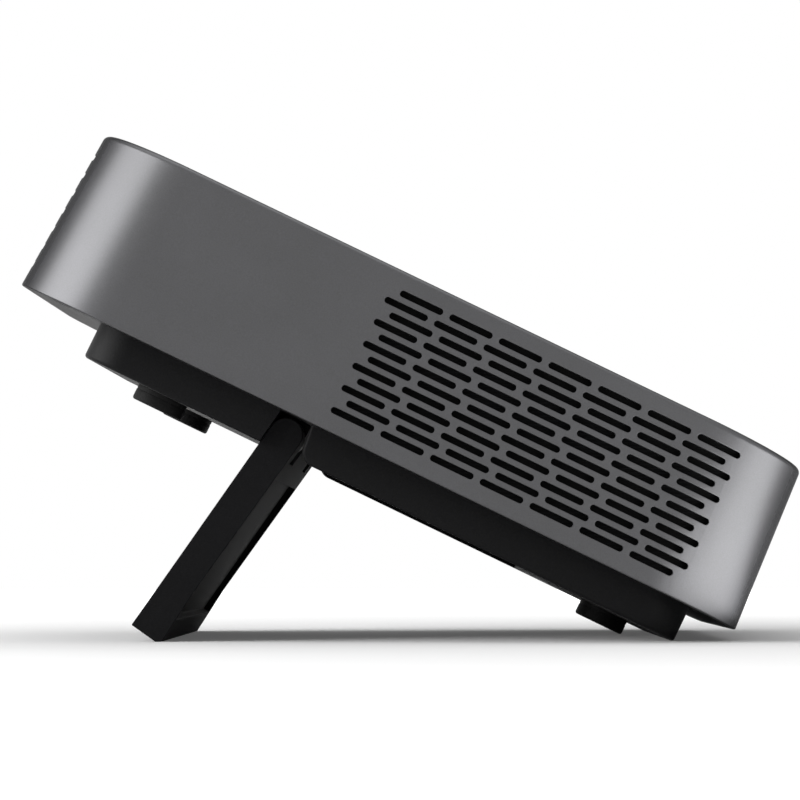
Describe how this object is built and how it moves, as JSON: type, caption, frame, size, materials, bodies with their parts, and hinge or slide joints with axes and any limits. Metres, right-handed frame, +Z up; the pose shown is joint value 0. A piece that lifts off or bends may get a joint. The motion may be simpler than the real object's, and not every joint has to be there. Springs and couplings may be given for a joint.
{
  "type": "portable disc projector",
  "caption": "Portable projector with a drafted metal shell, slotted vents, a side-loading disc tray, a black plinth on feet and a full-width fold-out stand.",
  "frame": {"origin": "bottom centre of the bounding box, on the surface that the stand and the plinth's rear edge rest on", "axes": "+X along the floor towards the socket end, the lens end at -X; +Y towards the disc side, the vented side at -Y; +Z up. The casing is tipped about Y by its stand."},
  "size_m": [0.216, 0.16, 0.1405],
  "materials": {
    "shell_paint": "satin",
    "black_case": "matte",
    "key_plastic": "satin",
    "foot_rubber": "matte",
    "steel": "brushed",
    "cast_alloy": "cast",
    "ring_plastic": "ribbed",
    "lens_glass": "coated",
    "smoked_window": "smoked",
    "board": "solder mask",
    "chip": "moulded",
    "brass": "turned",
    "copper": "plain",
    "light_source": "phosphor",
    "cone_paper": "paper"
  },
  "bodies": {
    "projector": {"outer_shell": "shell_paint", "bottom_case": "black_case", "case_screws": "steel", "front_foot_near": "foot_rubber", "front_foot_far": "foot_rubber", "rear_foot": "foot_rubber", "tripod_insert": "brass", "stand_pin": "steel", "hinge_washers": "steel", "drive_case": "steel", "lens_bezel": "black_case", "lens_window": "lens_glass", "engine_housing": "cast_alloy", "engine_lid": "cast_alloy", "focus_retainer": "steel", "led_modules": "light_source", "prism_block": "lens_glass", "imager_board": "board", "chassis_plate": "steel", "main_board": "board", "power_board": "board", "board_standoffs": "brass", "main_chips": "chip", "port_panel": "black_case", "hdmi_socket": "steel", "usb_socket": "steel", "audio_jack": "chip", "dc_inlet": "chip", "ir_window": "smoked_window", "blower_housing": "black_case", "blower_lid": "black_case", "heat_sink": "cast_alloy", "heat_pipe": "copper", "speaker_boxes": "black_case", "speaker_cones": "cone_paper", "key_frame": "black_case", "key_board": "board"},
    "stand": {"stand_arm": "black_case"},
    "focus_wheel": {"focus_ring": "ring_plastic"},
    "lens": {"lens_barrel": "cast_alloy", "front_lens": "lens_glass", "rear_lens": "lens_glass"},
    "rotor": {"blower_rotor": "black_case"},
    "rails": {"tray_rails": "steel"},
    "tray": {"disc_tray": "black_case", "tray_bezel": "black_case", "mechanism_frame": "steel", "guide_rods": "steel", "spindle_motor": "steel", "sled_motor": "steel"},
    "hub": {"spindle_hub": "cast_alloy"},
    "sled": {"pickup_sled": "cast_alloy", "pickup_lens": "lens_glass"},
    "screw": {"lead_screw": "steel"},
    "eject": {"eject_key": "black_case"},
    "power_key": {"power_key": "key_plastic"},
    "previous_key": {"previous_key": "key_plastic"},
    "play_key": {"play_key": "key_plastic"},
    "next_key": {"next_key": "key_plastic"},
    "source_key": {"source_key": "key_plastic"}
  },
  "joints": [
    {"name": "stand_fold", "type": "hinge", "parent": "projector", "child": "stand", "pos_m": [-0.03407, 0, 0.05676], "axis": [0, -1, 0], "range_deg": [0, 99.2]},
    {"name": "tray_slide", "type": "slide", "parent": "projector", "child": "tray", "axis": [0, 1, 0], "range_m": [0, 0.121]},
    {"name": "rail_slide", "type": "slide", "parent": "projector", "child": "rails", "axis": [0, 1, 0], "range_m": [0, 0.0605]},
    {"name": "hub_spin", "type": "hinge", "parent": "tray", "child": "hub", "pos_m": [0.00607, 0.0134, 0.05495], "axis": [0.4367, 0, 0.8996], "continuous": true},
    {"name": "sled_slide", "type": "slide", "parent": "tray", "child": "sled", "axis": [0, -1, 0], "range_m": [0, 0.033]},
    {"name": "screw_spin", "type": "hinge", "parent": "tray", "child": "screw", "pos_m": [0.02464, 0.0094, 0.04282], "axis": [0, -1, 0], "range_deg": [0, 3960]},
    {"name": "focus_turn", "type": "hinge", "parent": "projector", "child": "focus_wheel", "pos_m": [-0.07866, 0, 0.11397], "axis": [0.8996, 0, -0.4367], "range_deg": [0, 120]},
    {"name": "lens_slide", "type": "slide", "parent": "projector", "child": "lens", "axis": [-0.8996, 0, 0.4367], "range_m": [0, 0.0035]},
    {"name": "rotor_spin", "type": "hinge", "parent": "projector", "child": "rotor", "pos_m": [0.04886, -0.0355, 0.04462], "axis": [0.4367, 0, 0.8996], "continuous": true},
    {"name": "eject_press", "type": "slide", "parent": "tray", "child": "eject", "axis": [0, -1, 0], "range_m": [0, 0.0008], "stiffness_N_per_m": 250},
    {"name": "power_press", "type": "slide", "parent": "projector", "child": "power_key", "axis": [-0.4367, 0, -0.8996], "range_m": [0, 0.0006], "stiffness_N_per_m": 400},
    {"name": "previous_press", "type": "slide", "parent": "projector", "child": "previous_key", "axis": [-0.4367, 0, -0.8996], "range_m": [0, 0.0006], "stiffness_N_per_m": 400},
    {"name": "play_press", "type": "slide", "parent": "projector", "child": "play_key", "axis": [-0.4367, 0, -0.8996], "range_m": [0, 0.0006], "stiffness_N_per_m": 400},
    {"name": "next_press", "type": "slide", "parent": "projector", "child": "next_key", "axis": [-0.4367, 0, -0.8996], "range_m": [0, 0.0006], "stiffness_N_per_m": 400},
    {"name": "source_press", "type": "slide", "parent": "projector", "child": "source_key", "axis": [-0.4367, 0, -0.8996], "range_m": [0, 0.0006], "stiffness_N_per_m": 400}
  ],
  "couplings": [
    {"joint": "rail_slide", "follows": "tray_slide", "ratio": 0.5},
    {"joint": "screw_spin", "follows": "sled_slide", "rad_per_m": 2094.4},
    {"joint": "focus_turn", "follows": "lens_slide", "rad_per_m": 598.34}
  ]
}
